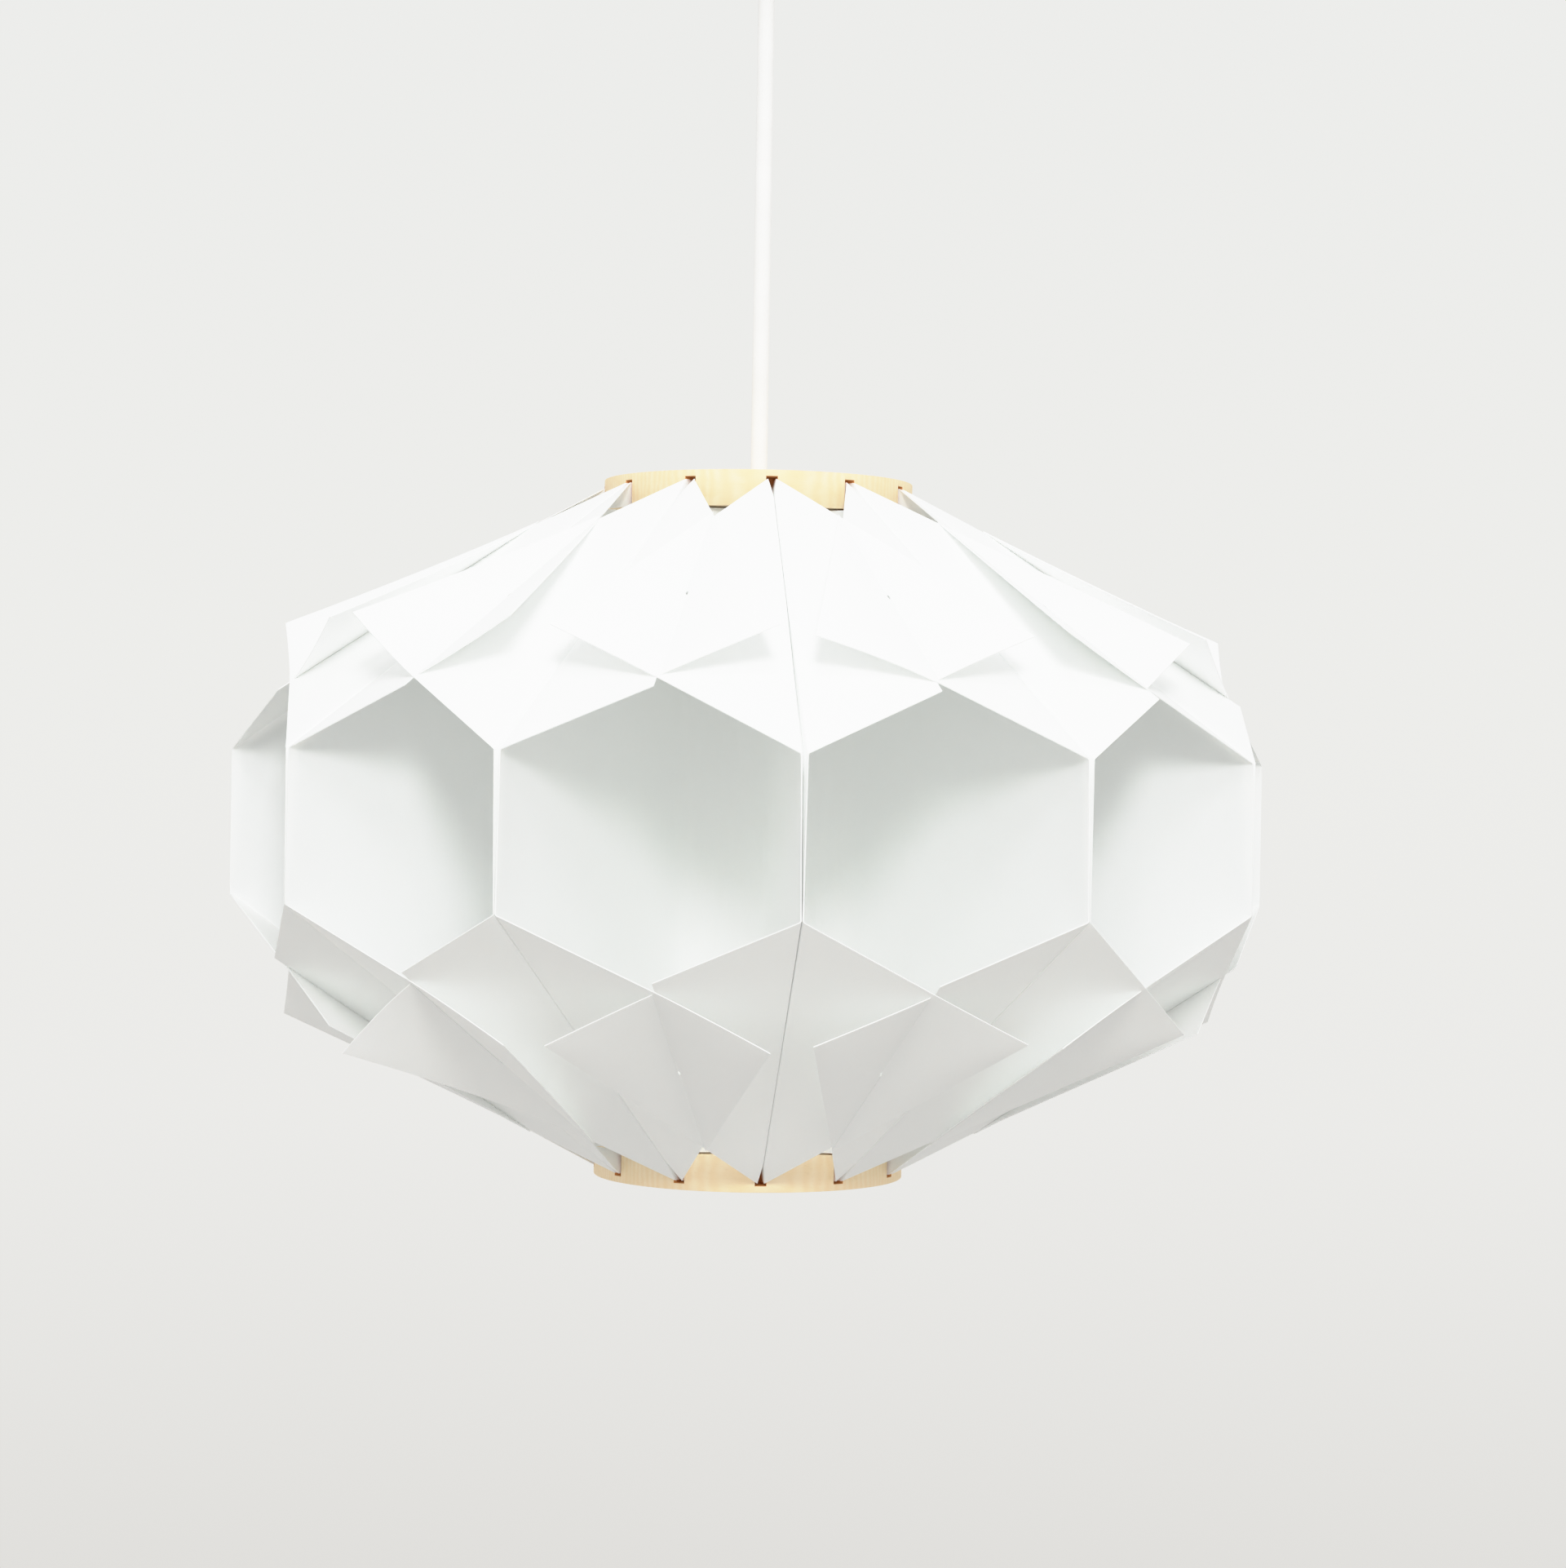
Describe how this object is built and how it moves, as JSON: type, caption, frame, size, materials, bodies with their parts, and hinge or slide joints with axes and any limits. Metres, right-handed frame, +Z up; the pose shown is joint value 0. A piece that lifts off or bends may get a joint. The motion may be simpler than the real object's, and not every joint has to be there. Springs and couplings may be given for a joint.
{
  "type": "paper pendant lamp",
  "caption": "Hanging lampshade of folded white paper leaves set in slotted wooden hubs, with a lampholder and bulb inside, on a white textile cord from a ceiling cup.",
  "frame": {"origin": "the ceiling, on the lamp's axis: the plane of the bracket's top face", "axes": "+Z up along the cord and the lamp's axis; the seam between leaves 12 and 1 faces -Y"},
  "size_m": [0.4002, 0.4002, 0.5285],
  "materials": {
    "white_paper": "matt, uncoated, slightly translucent",
    "light_wood": "sanded, unvarnished light wood with laser-cut slots",
    "textile_cord": "white braided textile sleeve",
    "cup_plastic": "white moulded plastic",
    "holder_plastic": "white moulded thermoplastic",
    "terminal_plastic": "pale moulded plastic",
    "ceramic_insert": "unglazed white ceramic",
    "steel": "zinc-plated",
    "brass": "plain",
    "bulb_metal": "rolled screw cap",
    "opal_glass": "opal white",
    "washer_rubber": "soft, matt"
  },
  "bodies": {
    "ceiling": {"ceiling_cup": "cup_plastic", "ceiling_bracket": "steel", "cup_screw_left": "steel", "cup_screw_right": "steel", "terminal_block": "terminal_plastic", "terminal_screw_left": "brass", "terminal_screw_right": "brass"},
    "grip": {"cord_grip": "cup_plastic", "grip_nut": "cup_plastic", "grip_screw": "cup_plastic", "cord_in_cup": "textile_cord"},
    "pendant": {"pendant_cord": "textile_cord", "lampholder_cap": "holder_plastic", "lampholder_body": "holder_plastic", "contact_insert": "ceramic_insert", "threaded_shell": "brass", "centre_contact": "brass", "cord_clamp": "steel"},
    "washer": {"hub_washer": "washer_rubber"},
    "shade": {"top_hub": "light_wood", "bottom_hub": "light_wood", "paper_leaf_01": "white_paper", "paper_leaf_02": "white_paper", "paper_leaf_03": "white_paper", "paper_leaf_04": "white_paper", "paper_leaf_05": "white_paper", "paper_leaf_06": "white_paper", "paper_leaf_07": "white_paper", "paper_leaf_08": "white_paper", "paper_leaf_09": "white_paper", "paper_leaf_10": "white_paper", "paper_leaf_11": "white_paper", "paper_leaf_12": "white_paper"},
    "bulb_tip": {"bulb_contact": "brass"},
    "bulb": {"bulb_glass": "opal_glass", "bulb_screw_cap": "bulb_metal"}
  },
  "joints": [
    {"name": "grip_turn", "type": "hinge", "parent": "ceiling", "child": "grip", "pos_m": [0, 0, -0.045], "axis": [0, 0, 1], "range_deg": [-170, 170]},
    {"name": "cord_swing", "type": "hinge", "parent": "grip", "child": "pendant", "pos_m": [0, 0, -0.06], "axis": [1, 0, 0], "range_deg": [-20, 20]},
    {"name": "shade_lift", "type": "slide", "parent": "pendant", "child": "washer", "axis": [0, 0, 1], "range_m": [0, 0.15]},
    {"name": "shade_turn", "type": "hinge", "parent": "washer", "child": "shade", "pos_m": [0, 0, -0.395], "axis": [0, 0, 1], "continuous": true},
    {"name": "bulb_travel", "type": "slide", "parent": "pendant", "child": "bulb_tip", "axis": [0, 0, -1], "range_m": [0, 0.0181]},
    {"name": "bulb_turn", "type": "hinge", "parent": "bulb_tip", "child": "bulb", "pos_m": [0, 0, -0.325], "axis": [0, 0, -1], "range_deg": [0, 1799]}
  ],
  "couplings": [
    {"joint": "bulb_travel", "follows": "bulb_turn", "m_per_rad": 0.00057614}
  ]
}
